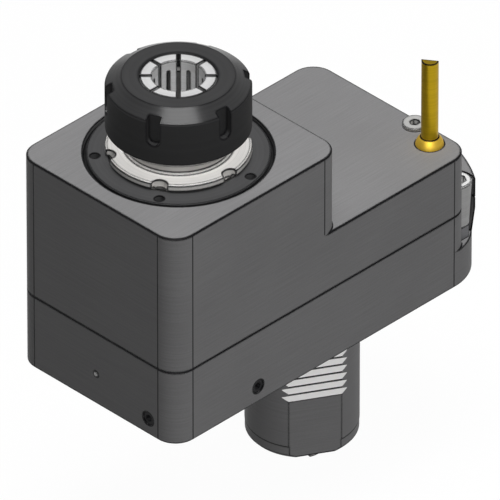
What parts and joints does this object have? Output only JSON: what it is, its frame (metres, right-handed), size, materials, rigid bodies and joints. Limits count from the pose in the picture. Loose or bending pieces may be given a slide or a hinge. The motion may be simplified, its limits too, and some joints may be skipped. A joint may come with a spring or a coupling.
{
  "type": "axial driven tool holder",
  "caption": "Driven tool holder with a toothed cylindrical shank, a stepped split gear housing, an offset parallel collet spindle and a swivelling coolant nozzle.",
  "frame": {"origin": "on the shank's axis, in the seating face from which the shank stands out", "axes": "+Z along the shank's axis away from the turret, towards the collet; -Y from the shank to the tool spindle; +X across the housing, on the side of the coolant inlet"},
  "size_m": [0.0772, 0.1607, 0.1856],
  "materials": {
    "housing_steel": "machined and oil-blackened grey",
    "dark_ring_steel": "turned, blackened",
    "ground_steel": "fine ground, bright",
    "spindle_steel": "hardened and ground",
    "nut_steel": "black oxide",
    "collet_steel": "hardened and ground, bright",
    "gear_steel": "case hardened, ground flanks",
    "bearing_steel": "polished",
    "cage_brass": "turned",
    "spring_steel": "phosphated",
    "rubber": "moulded nitrile",
    "black_screw": "black oxide",
    "bright_steel": "zinc plated, bright",
    "nozzle_brass": "turned brass"
  },
  "bodies": {
    "housing": {"upper_housing": "housing_steel", "base_housing": "housing_steel", "bearing_retaining_ring": "dark_ring_steel", "front_bearing_a_outer": "bearing_steel", "front_bearing_b_outer": "bearing_steel", "rear_bearing_outer": "bearing_steel", "rear_wave_spring": "spring_steel", "drive_upper_bearing_outer": "bearing_steel", "drive_lower_bearing_outer": "bearing_steel", "shank_circlip": "spring_steel", "shank_seal": "rubber", "housing_screws": "black_screw", "dowel_pins": "spindle_steel", "gallery_plugs": "black_screw", "deck_plug": "bright_steel", "index_pin": "bright_steel", "alignment_bolts": "bright_steel", "alignment_jam_nuts": "black_screw", "inlet_oring": "rubber", "shank_oring": "rubber", "riser_oring": "rubber"},
    "spindle": {"spindle": "spindle_steel", "labyrinth_ring": "ground_steel", "front_bearing_a_inner": "bearing_steel", "front_bearing_b_inner": "bearing_steel", "rear_bearing_inner": "bearing_steel", "spindle_lock_nut": "black_screw", "spindle_gear": "gear_steel", "spindle_gear_key": "spindle_steel", "rear_spacer": "spindle_steel", "spindle_circlip": "spring_steel"},
    "drive_shaft": {"drive_shaft": "spindle_steel", "drive_gear": "gear_steel", "drive_gear_key": "spindle_steel", "drive_spacer": "spindle_steel", "drive_upper_circlip": "spring_steel", "drive_lower_circlip": "spring_steel", "drive_upper_bearing_inner": "bearing_steel", "drive_lower_bearing_inner": "bearing_steel"},
    "front_bearing_a_cage_set": {"front_bearing_a_cage": "cage_brass", "front_bearing_a_balls": "bearing_steel"},
    "front_bearing_b_cage_set": {"front_bearing_b_cage": "cage_brass", "front_bearing_b_balls": "bearing_steel"},
    "rear_bearing_cage_set": {"rear_bearing_cage": "cage_brass", "rear_bearing_balls": "bearing_steel"},
    "drive_upper_bearing_cage_set": {"drive_upper_bearing_cage": "cage_brass", "drive_upper_bearing_balls": "bearing_steel"},
    "drive_lower_bearing_cage_set": {"drive_lower_bearing_cage": "cage_brass", "drive_lower_bearing_balls": "bearing_steel"},
    "collet": {"collet": "collet_steel"},
    "collet_nut": {"collet_nut": "nut_steel"},
    "nozzle_seat": {"nozzle_ring": "rubber"},
    "nozzle": {"nozzle_ball": "nozzle_brass", "nozzle_tube": "nozzle_brass"}
  },
  "joints": [
    {"name": "spindle_spin", "type": "hinge", "parent": "housing", "child": "spindle", "pos_m": [0, -0.06, 0.06], "axis": [0, 0, 1], "continuous": true},
    {"name": "drive_spin", "type": "hinge", "parent": "housing", "child": "drive_shaft", "pos_m": [0, 0, 0], "axis": [0, 0, 1], "continuous": true},
    {"name": "front_bearing_a_cage_spin", "type": "hinge", "parent": "housing", "child": "front_bearing_a_cage_set", "pos_m": [0, -0.06, 0], "axis": [0, 0, 1], "continuous": true},
    {"name": "front_bearing_b_cage_spin", "type": "hinge", "parent": "housing", "child": "front_bearing_b_cage_set", "pos_m": [0, -0.06, 0], "axis": [0, 0, 1], "continuous": true},
    {"name": "rear_bearing_cage_spin", "type": "hinge", "parent": "housing", "child": "rear_bearing_cage_set", "pos_m": [0, -0.06, 0], "axis": [0, 0, 1], "continuous": true},
    {"name": "drive_upper_bearing_cage_spin", "type": "hinge", "parent": "housing", "child": "drive_upper_bearing_cage_set", "pos_m": [0, 0, 0], "axis": [0, 0, 1], "continuous": true},
    {"name": "drive_lower_bearing_cage_spin", "type": "hinge", "parent": "housing", "child": "drive_lower_bearing_cage_set", "pos_m": [0, 0, 0], "axis": [0, 0, 1], "continuous": true},
    {"name": "collet_slide", "type": "slide", "parent": "spindle", "child": "collet", "axis": [0, 0, 1], "range_m": [0, 0.003]},
    {"name": "nut_turn", "type": "hinge", "parent": "collet", "child": "collet_nut", "pos_m": [0, -0.06, 0.107], "axis": [0, 0, 1], "range_deg": [0, 720]},
    {"name": "nozzle_pan", "type": "hinge", "parent": "housing", "child": "nozzle_seat", "pos_m": [0.0253, 0.0366, 0.05315], "axis": [0, 0, 1], "continuous": true},
    {"name": "nozzle_tilt", "type": "hinge", "parent": "nozzle_seat", "child": "nozzle", "pos_m": [0.0253, 0.0366, 0.05315], "axis": [1, 0, 0], "range_deg": [-25, 25]}
  ],
  "couplings": [
    {"joint": "drive_spin", "follows": "spindle_spin", "ratio": -1},
    {"joint": "front_bearing_a_cage_spin", "follows": "spindle_spin", "ratio": 0.41753},
    {"joint": "front_bearing_b_cage_spin", "follows": "spindle_spin", "ratio": 0.41753},
    {"joint": "rear_bearing_cage_spin", "follows": "spindle_spin", "ratio": 0.39677},
    {"joint": "drive_upper_bearing_cage_spin", "follows": "spindle_spin", "ratio": -0.39677},
    {"joint": "drive_lower_bearing_cage_spin", "follows": "spindle_spin", "ratio": -0.41489},
    {"joint": "collet_slide", "follows": "nut_turn", "m_per_rad": 0.00023873}
  ]
}
